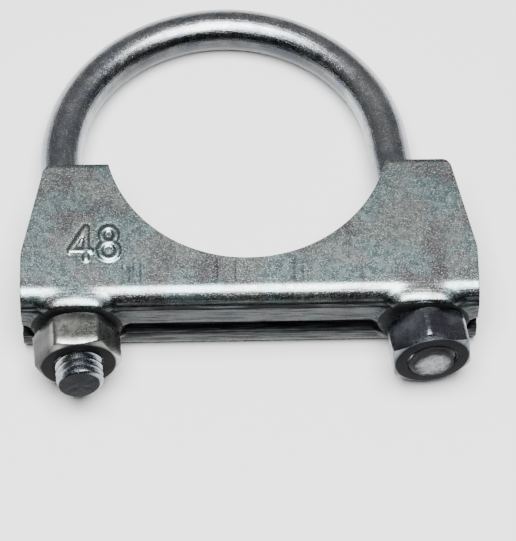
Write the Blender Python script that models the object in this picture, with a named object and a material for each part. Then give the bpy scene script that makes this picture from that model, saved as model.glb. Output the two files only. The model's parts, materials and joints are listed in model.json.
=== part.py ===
"""Exhaust U-bolt clamp lying on its side: bent rod, pressed saddle and two nuts.

X runs along the saddle, +Y from the nuts to the arch, +Z along the clamped pipe.
The saddle's lower cheek lies on Z = 0.
"""
import math

import bmesh
import bpy
from mathutils import Matrix, Vector

MM = 0.001

# Pipe and pressed saddle
PIPE_DIAMETER = 48.0 * MM
SHEET = 2.0 * MM
SADDLE_DEPTH = 16.0 * MM
FLAT_DROP = 5.55 * MM           # pipe axis down to the flats beside the cut-out
CHEEK_HEIGHT = 8.3 * MM         # bottom of the cut-out down to the outside of the web
SHOULDER_HEIGHT = 9.7 * MM      # web up to where the sloped sides start
FLAT_WIDTH = 10.1 * MM          # edge of the pipe out to the end of each flat
SHOULDER_WIDTH = 3.9 * MM       # end of each flat out to the saddle's side
BEND_RADIUS = 3.1 * MM          # outside of the two long bends
CORNER_RADIUS = 1.6 * MM

# Pressed details of the web
STEP_HEIGHT = 0.4 * MM          # the strip under the upper bend lies back
STEP_DROP = 2.3 * MM            # upper cheek down to the step
GROOVE_DEPTH = 1.3 * MM
GROOVE_WIDTH = 3.5 * MM
GROOVE_LOW = 5.4 * MM
SEAT_HEIGHT = 0.4 * MM
SEAT_EDGE = 0.15 * MM           # seat's foot in from the outside of a cheek
SEAT_DRAFT = 0.35 * MM
DISH_RIM = 0.13 * MM            # recess inside the seat, beyond the hole
HOLE_CLEARANCE = 0.95 * MM
HOLE_LIFT = 0.55 * MM           # holes above the middle of the web

# Raised size mark
MARK_HEIGHT = 0.25 * MM
MARK_STROKE = 0.9 * MM
MARK_TALL = 6.5 * MM
MARK_WIDE = 4.1 * MM
MARK_INSET = 3.9 * MM           # end of the flat in to the first digit
MARK_RISE = 7.9 * MM            # web up to the digits' feet

# Bent rod
ROD_DIAMETER = 7.2 * MM
ARCH_CLEARANCE = 0.55 * MM      # arch inside radius beyond the pipe radius
LEG_SPLAY = math.radians(1.26)
ROCK = math.radians(5.87)       # the rod leans over in the saddle's holes
LEG_GAP = 0.805 * MM            # leg to the lower cheek, where the arch drops
ARCH_SHIFT = -0.29 * MM
ARCH_RISE = 1.05 * MM           # arch centre above the pipe axis

# Thread and nuts
THREAD_ROLL = 0.64 * MM         # the rolled thread stands above the rod
THREAD_DEPTH = 0.67 * MM
THREAD_CLEARANCE = 0.16 * MM
PITCH = 1.25 * MM
THREAD_ABOVE = 6.4 * MM         # web up to where the thread starts
END_CHAMFER = 0.45 * MM
NUT_ACROSS_FLATS = 12.85 * MM
NUT_HEIGHT = 6.5 * MM
SEAT_GAP = 0.35 * MM
STUD_LEFT = 3.9 * MM            # stud beyond the nut
STUD_RIGHT = 0.7 * MM
NUT_LEFT_TURN = math.radians(-0.8)
NUT_RIGHT_TURN = math.radians(34.0)

SEGMENTS = 24
ARCH_STEPS = 44
ROUND_STEPS = 48

ZINC = (0.52, 0.56, 0.57)
STEEL = (0.33, 0.34, 0.35)
NUT_GREY = (0.42, 0.44, 0.46)
NUT_DARK = (0.16, 0.17, 0.20)

PIPE_RADIUS = PIPE_DIAMETER / 2
WEB_DROP = PIPE_RADIUS + CHEEK_HEIGHT
SHOULDER_DROP = WEB_DROP - SHOULDER_HEIGHT
FLAT_HALF_WIDTH = PIPE_RADIUS + FLAT_WIDTH
SHOULDER_HALF_WIDTH = FLAT_HALF_WIDTH + SHOULDER_WIDTH
ORIGIN_DROP = (PIPE_RADIUS + WEB_DROP - BEND_RADIUS) / 2
ROD_RADIUS = ROD_DIAMETER / 2
THREAD_MAJOR = ROD_DIAMETER + THREAD_ROLL
THREAD_START = WEB_DROP - THREAD_ABOVE
ARCH_RADIUS = PIPE_RADIUS + ARCH_CLEARANCE + ROD_RADIUS
HOLE_RADIUS = THREAD_MAJOR / 2 + HOLE_CLEARANCE
DISH_RADIUS = HOLE_RADIUS + DISH_RIM
SEAT_BASE_RADIUS = SADDLE_DEPTH / 2 - SEAT_EDGE
SEAT_TOP_RADIUS = SEAT_BASE_RADIUS - SEAT_DRAFT
HOLE_Z = SADDLE_DEPTH / 2 + HOLE_LIFT
LEG_FALL = HOLE_Z - SHEET - ROD_RADIUS - LEG_GAP
DROOP = math.asin(LEG_FALL / (WEB_DROP - FLAT_DROP))
LEG_DROP = ARCH_RADIUS * math.sin(LEG_SPLAY)
HOLE_X = ARCH_RADIUS + WEB_DROP * math.tan(LEG_SPLAY)
ARCH_CENTRE = Vector((
    ARCH_SHIFT - WEB_DROP * math.sin(ROCK),
    ORIGIN_DROP + ARCH_RISE,
    HOLE_Z - WEB_DROP * math.sin(DROOP),
))
UBOLT_MATRIX = (
    Matrix.Translation(ARCH_CENTRE)
    @ Matrix.Rotation(-DROOP, 4, "X")
    @ Matrix.Rotation(ROCK, 4, "Z")
)


def clear_scene():
    """Start from an empty scene."""
    for item in list(bpy.data.objects):
        bpy.data.objects.remove(item, do_unlink=True)


def material(name, colour, roughness):
    """Make one metal."""
    made = bpy.data.materials.new(name)
    made.use_nodes = True
    shader = made.node_tree.nodes["Principled BSDF"]
    shader.inputs["Base Color"].default_value = (*colour, 1.0)
    shader.inputs["Metallic"].default_value = 1.0
    shader.inputs["Roughness"].default_value = roughness
    return made


def add_object(name, mesh_builder, matrix=None):
    """Link a named object whose mesh comes from a bmesh."""
    mesh = bpy.data.meshes.new(name)
    bmesh.ops.recalc_face_normals(mesh_builder, faces=mesh_builder.faces)
    mesh_builder.to_mesh(mesh)
    mesh_builder.free()
    made = bpy.data.objects.new(name, mesh)
    bpy.context.scene.collection.objects.link(made)
    if matrix is not None:
        made.matrix_world = matrix
    return made


def shade_round(item, angle=math.radians(35)):
    """Shade smooth, with hard edges kept sharp."""
    item.data.shade_smooth()
    item.data.set_sharp_from_angle(angle=angle)


def combine(item, other, operation):
    """Add an exact boolean with a hidden helper."""
    step = item.modifiers.new(other.name, "BOOLEAN")
    step.operation = operation
    step.solver = "EXACT"
    step.object = other
    other.hide_render = True
    other.display_type = "WIRE"


def prism(points, low, high, place):
    """Close a polygon between two levels; place turns (a, b, level) into a point."""
    built = bmesh.new()
    rims = []
    for level in (low, high):
        rims.append([built.verts.new(place(a, b, level)) for a, b in points])
    count = len(points)
    for i in range(count):
        j = (i + 1) % count
        built.faces.new((rims[0][i], rims[0][j], rims[1][j], rims[1][i]))
    built.faces.new(rims[0][::-1])
    built.faces.new(rims[1])
    return built


def lathe(profile, steps=ROUND_STEPS):
    """Revolve (radius, height) points about Z and close both ends."""
    built = bmesh.new()
    rings = []
    for radius, height in profile:
        ring = []
        for i in range(steps):
            angle = 2 * math.pi * i / steps
            spot = (radius * math.cos(angle), radius * math.sin(angle), height)
            ring.append(built.verts.new(spot))
        rings.append(ring)
    for lower, upper in zip(rings, rings[1:]):
        for i in range(steps):
            j = (i + 1) % steps
            built.faces.new((lower[i], lower[j], upper[j], upper[i]))
    built.faces.new(rings[0][::-1])
    built.faces.new(rings[-1])
    return built


def arc(centre, radius, start, end, steps):
    """Points on an arc, both ends included; angles in degrees."""
    points = []
    for i in range(steps + 1):
        angle = math.radians(start + (end - start) * i / steps)
        points.append((centre[0] + radius * math.cos(angle),
                       centre[1] + radius * math.sin(angle)))
    return points


def rounded(points, radii, steps=4):
    """Round the corners of an open polyline; a zero radius keeps the point."""
    result = []
    for i, (point, radius) in enumerate(zip(points, radii)):
        here = Vector(point)
        if radius == 0 or i in (0, len(points) - 1):
            result.append(tuple(here))
            continue
        back = (Vector(points[i - 1]) - here).normalized()
        ahead = (Vector(points[i + 1]) - here).normalized()
        half = back.angle(ahead) / 2
        reach = radius / math.tan(half)
        middle = here + (back + ahead).normalized() * (radius / math.sin(half))
        first = here + back * reach - middle
        last = here + ahead * reach - middle
        turn = first.angle_signed(last)
        for k in range(steps + 1):
            angle = -turn * k / steps
            swung = Matrix.Rotation(angle, 2) @ first
            result.append(tuple(middle + swung))
    return result


def saddle_section():
    """Sheet section as (y, z): outside from the top cheek down, inside back up."""
    web = -WEB_DROP
    upper = web + STEP_HEIGHT
    floor = web + GROOVE_DEPTH
    ramp = 0.3 * MM
    step = SADDLE_DEPTH - STEP_DROP
    groove_high = GROOVE_LOW + GROOVE_WIDTH
    outside = [(0.0, SADDLE_DEPTH)]
    outside += arc((upper + BEND_RADIUS, SADDLE_DEPTH - BEND_RADIUS), BEND_RADIUS, 90, 162, 6)
    outside += [(upper, step), (web, step - 0.1 * MM)]
    outside += [(web, groove_high), (floor, groove_high - ramp)]
    outside += [(floor, GROOVE_LOW + 0.1 * MM), (web, GROOVE_LOW)]
    outside += arc((web + BEND_RADIUS, BEND_RADIUS), BEND_RADIUS, 180, 270, 6)
    outside += [(0.0, 0.0)]
    inner = web + SHEET
    bulge = floor + SHEET
    inner_bend = BEND_RADIUS - SHEET
    inside = [(0.0, SHEET)]
    inside += arc((inner + inner_bend, BEND_RADIUS), inner_bend, 270, 180, 4)
    inside += [(inner, GROOVE_LOW - 0.6 * MM), (bulge, GROOVE_LOW - ramp)]
    inside += [(bulge, groove_high + ramp), (inner, groove_high + 0.8 * MM)]
    inside += arc((upper + BEND_RADIUS, SADDLE_DEPTH - BEND_RADIUS), inner_bend, 180, 90, 4)
    inside += [(0.0, SADDLE_DEPTH - SHEET)]
    return outside + inside


def saddle_outline():
    """Cheek outline as (x, y), seen along the pipe."""
    mouth = math.degrees(math.asin(FLAT_DROP / PIPE_RADIUS))
    edge = math.sqrt(PIPE_RADIUS ** 2 - FLAT_DROP ** 2)
    low = -WEB_DROP - 2 * MM
    right = [
        (SHOULDER_HALF_WIDTH, low),
        (SHOULDER_HALF_WIDTH, -SHOULDER_DROP),
        (FLAT_HALF_WIDTH, -FLAT_DROP),
        (edge + 0.4 * MM, -FLAT_DROP),
    ]
    right = rounded(right, (0, 4 * CORNER_RADIUS, CORNER_RADIUS, 0))
    bowl = arc((0, 0), PIPE_RADIUS, -mouth - 1.2, -180 + mouth + 1.2, 40)
    left = [(-x, y) for x, y in reversed(right)]
    return right + bowl + left


def ring_stroke(points, width, closed):
    """Outline a stroke of one width along a polyline, as outer and inner rims."""
    spots = [Vector(p) for p in points]
    count = len(spots)
    rims = ([], [])
    for i, here in enumerate(spots):
        before = spots[i - 1] if closed or i > 0 else here
        after = spots[(i + 1) % count] if closed or i < count - 1 else here
        way = (after - before).normalized()
        side = Vector((-way.y, way.x)) * width / 2
        rims[0].append(here + side)
        rims[1].append(here - side)
    return rims


def stroke_body(points, closed=False):
    """Raise one stroke of the size mark on the upper cheek."""
    built = bmesh.new()
    rims = ring_stroke(points, MARK_STROKE, closed)
    low = SADDLE_DEPTH - 0.4 * MM
    high = SADDLE_DEPTH + MARK_HEIGHT
    grid = []
    for rim, level in ((rims[0], low), (rims[0], high), (rims[1], high), (rims[1], low)):
        grid.append([built.verts.new((p.x, p.y + ORIGIN_DROP, level)) for p in rim])
    count = len(points)
    spans = count if closed else count - 1
    for row in range(4):
        for i in range(spans):
            j = (i + 1) % count
            nxt = (row + 1) % 4
            built.faces.new((grid[row][i], grid[row][j], grid[nxt][j], grid[nxt][i]))
    if not closed:
        built.faces.new([grid[row][0] for row in range(4)])
        built.faces.new([grid[row][-1] for row in (3, 2, 1, 0)])
    return built


def size_mark():
    """Strokes of the two digits of the pipe size."""
    w, h = MARK_WIDE, MARK_TALL
    x, y = MARK_INSET - FLAT_HALF_WIDTH, MARK_RISE - WEB_DROP
    slope = [(x + 0.72 * w, y + h), (x, y + 0.27 * h), (x + w, y + 0.27 * h)]
    post = [(x + 0.72 * w, y + 0.97 * h), (x + 0.72 * w, y)]
    x += w + 1.1 * MM
    upper = [(x + w / 2 + 0.33 * w * math.cos(a), y + 0.76 * h + 0.235 * h * math.sin(a))
             for a in (2 * math.pi * k / 20 for k in range(20))]
    lower = [(x + w / 2 + 0.4 * w * math.cos(a), y + 0.265 * h + 0.265 * h * math.sin(a))
             for a in (2 * math.pi * k / 20 for k in range(20))]
    return [(slope, False), (post, False), (upper, True), (lower, True)]


def seat_matrix(x, z):
    """Stand a lathe on the web: its Z points out of the web."""
    turn = Matrix.Rotation(math.radians(90), 4, "X")
    spot = Matrix.Translation((x, ORIGIN_DROP - WEB_DROP, z))
    return spot @ turn


def build_saddle():
    """Pressed channel with cut-outs, raised nut seats, holes and size mark."""
    width = SHOULDER_HALF_WIDTH + 2 * MM
    shift = ORIGIN_DROP
    body = prism(saddle_section(), -width, width, lambda y, z, x: (x, y + shift, z))
    saddle = add_object("saddle", body)
    outline = prism(saddle_outline(), -3 * MM, SADDLE_DEPTH + 3 * MM,
                    lambda x, y, z: (x, y + shift, z))
    combine(saddle, add_object("cut_outline", outline), "INTERSECT")
    for side, x in (("left", -HOLE_X), ("right", HOLE_X)):
        seat = lathe([(SEAT_BASE_RADIUS, -1.0 * MM), (SEAT_BASE_RADIUS, -0.4 * MM),
                      (SEAT_TOP_RADIUS, SEAT_HEIGHT)])
        boss = add_object("seat_" + side, seat, seat_matrix(x, SADDLE_DEPTH / 2))
        combine(saddle, boss, "UNION")
    for side, x in (("left", -HOLE_X), ("right", HOLE_X)):
        bottom = SEAT_HEIGHT - SHEET
        dish = lathe([(DISH_RADIUS + 0.6 * MM, -SHEET - 2.5 * MM),
                      (DISH_RADIUS + 0.6 * MM, -SHEET - 0.05 * MM), (DISH_RADIUS, bottom)])
        combine(saddle, add_object("dish_" + side, dish, seat_matrix(x, HOLE_Z)), "DIFFERENCE")
        hole = lathe([(HOLE_RADIUS, -4 * MM), (HOLE_RADIUS, 3 * MM)])
        combine(saddle, add_object("hole_" + side, hole, seat_matrix(x, HOLE_Z)), "DIFFERENCE")
    for k, (points, closed) in enumerate(size_mark()):
        stroke = add_object("mark_%d" % k, stroke_body(points, closed))
        combine(saddle, stroke, "UNION")
    shade_round(saddle)
    saddle.data.materials.append(material("saddle_zinc", ZINC, 0.42))
    return saddle


def leg_frame(side):
    """Start of a leg and its axes: across, up, and towards its free end."""
    along = Vector((side * math.sin(LEG_SPLAY), -math.cos(LEG_SPLAY), 0))
    up = Vector((0, 0, 1))
    across = up.cross(along)
    start = Vector((side * ARCH_RADIUS * math.cos(LEG_SPLAY), LEG_DROP, 0))
    return start, across, up, along


def nut_seat(side):
    """Distance along a leg to a nut that just clears the web as it leans."""
    start, _, _, along = leg_frame(side)
    foot = UBOLT_MATRIX @ start
    way = UBOLT_MATRIX.to_3x3() @ along
    reach = (foot.y - ORIGIN_DROP + WEB_DROP + SEAT_HEIGHT) / -way.y
    lean = math.acos(-way.y)
    return reach + NUT_ACROSS_FLATS / 2 * math.tan(lean) + SEAT_GAP


def thread_rows(crest, root, gap=0.0):
    """One pitch of the thread as (axial offset, radius); gap opens the flanks."""
    half_crest = 0.10 * PITCH + gap
    half_root = 0.36 * PITCH + gap
    return [(-half_root, root), (-half_crest, crest), (half_crest, crest), (half_root, root)]


def threaded_grid(built, place, low, high, rows, plain_low, plain_high, fade):
    """Right-hand thread from low to high along an axis, plain rings at both ends."""
    first = int(low / PITCH) - 3
    last = int(high / PITCH) + 3
    table = []
    for turn in range(first, last):
        for offset, radius in rows:
            line = []
            for j in range(SEGMENTS):
                spot = (turn + j / SEGMENTS) * PITCH + offset
                level = min(max(spot, low), high)
                mix = min(1.0, (level - low) / fade[0], (high - level) / fade[1])
                plain = plain_low if level - low < high - level else plain_high
                size = plain + (radius - plain) * mix
                line.append(built.verts.new(place(level, size, 2 * math.pi * j / SEGMENTS)))
            table.append(line)
    step = len(rows)
    for i in range(len(table) - 1 - step):
        for j in range(SEGMENTS):
            if j + 1 < SEGMENTS:
                pair = (table[i][j + 1], table[i + 1][j + 1])
            else:
                pair = (table[i + step][0], table[i + 1 + step][0])
            built.faces.new((table[i][j], pair[0], pair[1], table[i + 1][j]))


def ring_tube(built, place, levels):
    """Plain rings joined end to end; levels is a list of (level, radius)."""
    rings = []
    for level, radius in levels:
        rings.append([built.verts.new(place(level, radius, 2 * math.pi * j / SEGMENTS))
                      for j in range(SEGMENTS)])
    for lower, upper in zip(rings, rings[1:]):
        for j in range(SEGMENTS):
            k = (j + 1) % SEGMENTS
            built.faces.new((lower[j], lower[k], upper[k], upper[j]))
    return rings


def weld(built):
    """Join the pieces of a grid and drop the faces that have closed up."""
    bmesh.ops.remove_doubles(built, verts=built.verts, dist=0.001 * MM)
    bmesh.ops.dissolve_degenerate(built, edges=built.edges, dist=0.001 * MM)


def build_ubolt():
    """Rod bent to a U with a thread on each leg."""
    built = bmesh.new()
    crest = THREAD_MAJOR / 2
    root = crest - THREAD_DEPTH
    for side, proud in ((-1, STUD_LEFT), (1, STUD_RIGHT)):
        start, across, up, along = leg_frame(side)
        length = nut_seat(side) + NUT_HEIGHT + proud

        def place(level, radius, angle):
            """Point on the leg's surface."""
            return start + along * level + (across * math.cos(angle) + up * math.sin(angle)) * radius

        end = length - 0.05 * MM
        ring_tube(built, place, [(0, ROD_RADIUS), (THREAD_START / 2, ROD_RADIUS),
                                 (THREAD_START, ROD_RADIUS)])
        threaded_grid(built, place, THREAD_START, end, thread_rows(crest, root),
                      ROD_RADIUS, root, (PITCH, END_CHAMFER))
        rings = ring_tube(built, place, [(end, root), (length, root - 0.05 * MM)])
        built.faces.new(rings[-1])
    rings = []
    for i in range(ARCH_STEPS + 1):
        swing = LEG_SPLAY + (math.pi - 2 * LEG_SPLAY) * i / ARCH_STEPS
        out = Vector((math.cos(swing), math.sin(swing), 0))
        ring = []
        for j in range(SEGMENTS):
            angle = 2 * math.pi * j / SEGMENTS
            spot = out * (ARCH_RADIUS + ROD_RADIUS * math.cos(angle))
            ring.append(built.verts.new(spot + Vector((0, 0, ROD_RADIUS * math.sin(angle)))))
        rings.append(ring)
    for lower, upper in zip(rings, rings[1:]):
        for j in range(SEGMENTS):
            k = (j + 1) % SEGMENTS
            built.faces.new((lower[j], lower[k], upper[k], upper[j]))
    weld(built)
    ubolt = add_object("u_bolt", built, UBOLT_MATRIX)
    shade_round(ubolt)
    ubolt.data.materials.append(material("rod_steel", STEEL, 0.3))
    return ubolt


def nut_matrix(side):
    """Seat centre on the leg, with Z towards the leg's free end."""
    seat = nut_seat(side)
    start, across, up, along = leg_frame(side)
    axes = Matrix((across, up, along)).transposed().to_4x4()
    return UBOLT_MATRIX @ Matrix.Translation(start + along * seat) @ axes


def tap(phase):
    """Solid of the nut's threaded bore, with a countersink at each face."""
    built = bmesh.new()
    crest = THREAD_MAJOR / 2 + THREAD_CLEARANCE
    root = crest - THREAD_DEPTH
    mouth = crest + 0.15 * MM
    sink = 0.4 * MM
    clear = 1.0 * MM

    def place(level, radius, angle):
        """Point at a level along the nut's axis."""
        return Vector((radius * math.cos(angle), radius * math.sin(angle), level - phase))

    top = phase + NUT_HEIGHT
    head = ring_tube(built, place, [(phase - clear, mouth), (phase, mouth), (phase + sink, crest)])
    threaded_grid(built, place, phase + sink, top - sink,
                  thread_rows(crest, root, THREAD_CLEARANCE / 2), crest, crest,
                  (PITCH / 2, PITCH / 2))
    tail = ring_tube(built, place, [(top - sink, crest), (top, mouth), (top + clear, mouth)])
    built.faces.new(head[0])
    built.faces.new(tail[-1])
    weld(built)
    return built


def build_nut(side, turn, metal):
    """Hexagon nut with chamfered corners and a threaded bore."""
    name = "nut_left" if side < 0 else "nut_right"
    corner = NUT_ACROSS_FLATS / math.sqrt(3)
    flat = NUT_ACROSS_FLATS / 2
    hexagon = [(corner * math.cos(turn + math.radians(60 * i)),
                corner * math.sin(turn + math.radians(60 * i))) for i in range(6)]
    matrix = nut_matrix(side)
    nut = add_object(name, prism(hexagon, 0, NUT_HEIGHT, lambda x, y, z: (x, y, z)), matrix)
    rise = (corner - flat + 0.35 * MM) * math.tan(math.radians(30))
    barrel = lathe([(flat - 0.35 * MM, 0), (corner, rise), (corner + 1 * MM, rise + 0.57 * MM),
                    (corner + 1 * MM, NUT_HEIGHT - rise - 0.57 * MM),
                    (corner, NUT_HEIGHT - rise), (flat - 0.35 * MM, NUT_HEIGHT)])
    combine(nut, add_object(name + "_barrel", barrel, matrix), "INTERSECT")
    combine(nut, add_object(name + "_tap", tap(nut_seat(side)), matrix), "DIFFERENCE")
    shade_round(nut)
    nut.data.materials.append(metal)
    return nut


def main():
    """Build the whole clamp."""
    clear_scene()
    build_saddle()
    build_ubolt()
    build_nut(-1, NUT_LEFT_TURN, material("nut_zinc", NUT_GREY, 0.35))
    build_nut(1, NUT_RIGHT_TURN, material("nut_blackened", NUT_DARK, 0.38))


main()
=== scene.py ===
"""Exhaust U-bolt clamp lying on its side: plated saddle, bent rod and two hex nuts.

X runs along the saddle, +Y from the nuts to the arch, +Z up from the floor.
"""
import json
import math

import bmesh
import bpy
import numpy as np
from bpy.props import FloatProperty, FloatVectorProperty, IntProperty, PointerProperty
from mathutils import Matrix, Vector, noise


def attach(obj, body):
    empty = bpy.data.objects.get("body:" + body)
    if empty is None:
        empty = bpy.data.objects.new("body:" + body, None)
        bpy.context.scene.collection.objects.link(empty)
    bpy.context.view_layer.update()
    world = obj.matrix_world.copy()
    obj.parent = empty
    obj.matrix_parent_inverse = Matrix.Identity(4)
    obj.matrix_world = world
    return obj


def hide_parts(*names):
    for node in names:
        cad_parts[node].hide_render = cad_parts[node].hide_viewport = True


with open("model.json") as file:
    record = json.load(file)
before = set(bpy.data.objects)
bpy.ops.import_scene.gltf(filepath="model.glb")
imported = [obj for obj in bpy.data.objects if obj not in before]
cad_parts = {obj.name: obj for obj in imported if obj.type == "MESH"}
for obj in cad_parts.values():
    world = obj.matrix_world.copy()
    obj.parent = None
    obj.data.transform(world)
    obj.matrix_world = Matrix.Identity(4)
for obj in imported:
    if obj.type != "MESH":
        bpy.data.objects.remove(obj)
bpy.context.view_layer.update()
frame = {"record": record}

MM = 0.001
CLEAN_DISTANCE = 0.002 * MM
SHARP_ANGLE = math.radians(38)

ARCH_STEPS = 110
LEG_STEPS = 14
NUT_STEPS = 144
HOLE_STEPS = 72
THREAD_JOIN = 0.6 * MM          # plain leg stops this far before the thread

CAMERA_PLACE = (-0.00725, -0.28281, 0.52182)
CAMERA_TURN = (0.51006, -0.005047, -0.021555)

bl_info = {
    "name": "Exhaust U-bolt clamp",
    "version": (1, 0, 0),
    "blender": (4, 5, 0),
    "location": "View3D > Sidebar > Clamp",
    "description": "Builds the plated saddle, rod and nuts of an exhaust clamp",
    "category": "Object",
}


# ---------------------------------------------------------------- settings

def length(name, text, default):
    """A size property in metres."""
    return FloatProperty(name=name, description=text, default=default, unit="LENGTH",
                         subtype="DISTANCE", precision=5)


def colour(name, text, default):
    """A colour property."""
    return FloatVectorProperty(name=name, description=text, default=default, size=3,
                               min=0.0, max=1.0, subtype="COLOR")


class SaddleSettings(bpy.types.PropertyGroup):
    """Sizes of the pressed saddle."""
    pipe_radius: length("Pipe radius", "Radius of the cut-out", 24.0 * MM)
    axis_y: length("Pipe axis", "Height of the pipe axis along Y", 26.6 * MM)
    depth: length("Depth", "Outside of one cheek to the other", 16.0 * MM)
    sheet: length("Sheet", "Thickness of the metal", 2.0 * MM)
    flat_drop: length("Flat drop", "Pipe axis down to the flats", 5.55 * MM)
    flat_half: length("Flat half width", "Middle out to the end of a flat", 34.1 * MM)
    side_half: length("Side half width", "Middle out to the side", 38.0 * MM)
    shoulder_drop: length("Shoulder drop", "Pipe axis down to the slope's end", 22.6 * MM)
    web_drop: length("Web drop", "Pipe axis down to the web", 32.3 * MM)
    bend: length("Bend", "Outside radius of the long bends", 3.1 * MM)
    seat_height: length("Seat height", "Raised seat above the web", 0.72 * MM)
    seat_radius: length("Seat radius", "Flat part of a raised seat", 6.9 * MM)
    hole_radius: length("Hole radius", "Hole for a leg of the rod", 4.87 * MM)
    hole_x: length("Hole place", "Middle out to a hole", 28.86 * MM)
    hole_z: length("Hole level", "Floor up to a hole", 8.55 * MM)
    digit_height: length("Digit height", "Raised size mark above the cheek", 0.26 * MM)


class RodSettings(bpy.types.PropertyGroup):
    """Sizes of the bent rod and its thread."""
    radius: length("Rod radius", "Radius of the rod", 3.555 * MM)
    arch_radius: length("Arch radius", "Radius of the arch at the rod's middle", 28.15 * MM)
    crest: length("Crest radius", "Radius over the thread", 3.92 * MM)
    thread_depth: length("Thread depth", "Crest down to root", 0.67 * MM)
    pitch: length("Pitch", "Advance in one turn", 1.25 * MM)
    thread_start: length("Thread start", "Start of a leg down to its thread", 25.9 * MM)
    stud_left: length("Left stud", "Stud beyond the left nut", 3.83 * MM)
    stud_right: length("Right stud", "Stud beyond the right nut", 0.7 * MM)
    steps: IntProperty(name="Steps", description="Steps round the rod", default=48, min=12)


class NutSettings(bpy.types.PropertyGroup):
    """Sizes of the hex nuts."""
    across_flats: length("Across flats", "Width over two flats", 12.85 * MM)
    height: length("Height", "Thickness of a nut", 6.5 * MM)
    corner_radius: length("Corner reach", "Axis to the worn corner", 7.32 * MM)
    clearance: length("Clearance", "Gap between stud and bore", 0.14 * MM)
    left_turn: FloatProperty(name="Left turn", description="Turn of the left nut",
                             default=math.radians(-0.8), subtype="ANGLE")
    right_turn: FloatProperty(name="Right turn", description="Turn of the right nut",
                              default=math.radians(34.0), subtype="ANGLE")


class FinishSettings(bpy.types.PropertyGroup):
    """Colours of the plating and the floor."""
    sheet_light: colour("Sheet light", "Pale blue-green zinc", (0.30, 0.338, 0.323))
    sheet_dark: colour("Sheet dark", "Brown-grey patches", (0.132, 0.126, 0.135))
    rod_light: colour("Rod light", "Drawn zinc", (0.52, 0.545, 0.56))
    rod_dark: colour("Rod dark", "Dull streaks", (0.255, 0.255, 0.267))
    nut_light: colour("Nut light", "Satin zinc", (0.45, 0.45, 0.443))
    nut_mid: colour("Nut mid", "Satin zinc in shade", (0.30, 0.293, 0.278))
    black_light: colour("Black nut light", "Worn plating", (0.40, 0.425, 0.49))
    black_dark: colour("Black nut dark", "Blackened plating", (0.128, 0.132, 0.158))
    floor: colour("Floor", "Plain floor", (0.95, 0.95, 0.95))


class StageSettings(bpy.types.PropertyGroup):
    """Camera and lights."""
    lens: FloatProperty(name="Lens", description="Focal length in mm", default=232.9)
    softbox: length("Softbox", "Width of the overhead light", 0.50)
    softbox_height: length("Softbox height", "Height of the overhead light", 0.70)
    softbox_shift: length("Softbox shift", "Overhead light towards the nuts", 0.10)
    softbox_power: FloatProperty(name="Softbox power", description="Watts", default=17.5)
    world: FloatProperty(name="World", description="Strength of the room", default=0.215)


# ---------------------------------------------------------------- mesh tools

def finish_object(name, built, material, body, node, slot):
    """Turn a bmesh into the piece that stands for a CAD node."""
    bmesh.ops.remove_doubles(built, verts=built.verts, dist=CLEAN_DISTANCE)
    bmesh.ops.dissolve_degenerate(built, edges=built.edges, dist=CLEAN_DISTANCE)
    bmesh.ops.recalc_face_normals(built, faces=built.faces)
    mesh = bpy.data.meshes.new(name)
    built.to_mesh(mesh)
    built.free()
    piece = bpy.data.objects.new(name, mesh)
    bpy.context.scene.collection.objects.link(piece)
    mesh.materials.append(material)
    mesh.shade_smooth()
    mesh.set_sharp_from_angle(angle=SHARP_ANGLE)
    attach(piece, body)
    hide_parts(node)
    return piece


def boundary_loops(built):
    """Open loops of a bmesh, each as a set of edges."""
    left = {edge for edge in built.edges if edge.is_boundary}
    loops = []
    while left:
        chain = {left.pop()}
        grow = list(chain)
        while grow:
            edge = grow.pop()
            for vert in edge.verts:
                for other in vert.link_edges:
                    if other in left:
                        left.remove(other)
                        chain.add(other)
                        grow.append(other)
        loops.append(chain)
    return loops


def loop_centre(loop):
    """Mean place of a loop."""
    spots = [vert.co for edge in loop for vert in edge.verts]
    return sum(spots, Vector()) / len(spots)


def bridge_pair(built, loops):
    """Join two open loops with faces."""
    if len(loops) != 2:
        raise ValueError("two open loops were expected and there are %d" % len(loops))
    bmesh.ops.bridge_loops(built, edges=[edge for loop in loops for edge in loop])


def extrude_loop(built, loop, place):
    """Extrude a loop and send each new vertex where place says."""
    made = bmesh.ops.extrude_edge_only(built, edges=list(loop))["geom"]
    for item in made:
        if isinstance(item, bmesh.types.BMVert):
            item.co = place(item.co)
    return {item for item in made if isinstance(item, bmesh.types.BMEdge) and item.is_boundary}


def around(place):
    """Wrap a (angle -> radius, level) rule as a rule on points about Z."""
    def moved(spot):
        angle = math.atan2(spot.y, spot.x)
        radius, level = place(angle)
        return Vector((radius * math.cos(angle), radius * math.sin(angle), level))
    return moved


def ring_stack(built, rings, steps):
    """Extrude a circle about Z through rings; returns the last loop."""
    first = bmesh.ops.create_circle(built, cap_ends=False, segments=steps, radius=1.0)["verts"]
    for vert in first:
        vert.co = around(rings[0])(vert.co)
    loop = {edge for vert in first for edge in vert.link_edges}
    for ring in rings[1:]:
        loop = extrude_loop(built, loop, around(ring))
    return loop


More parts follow.
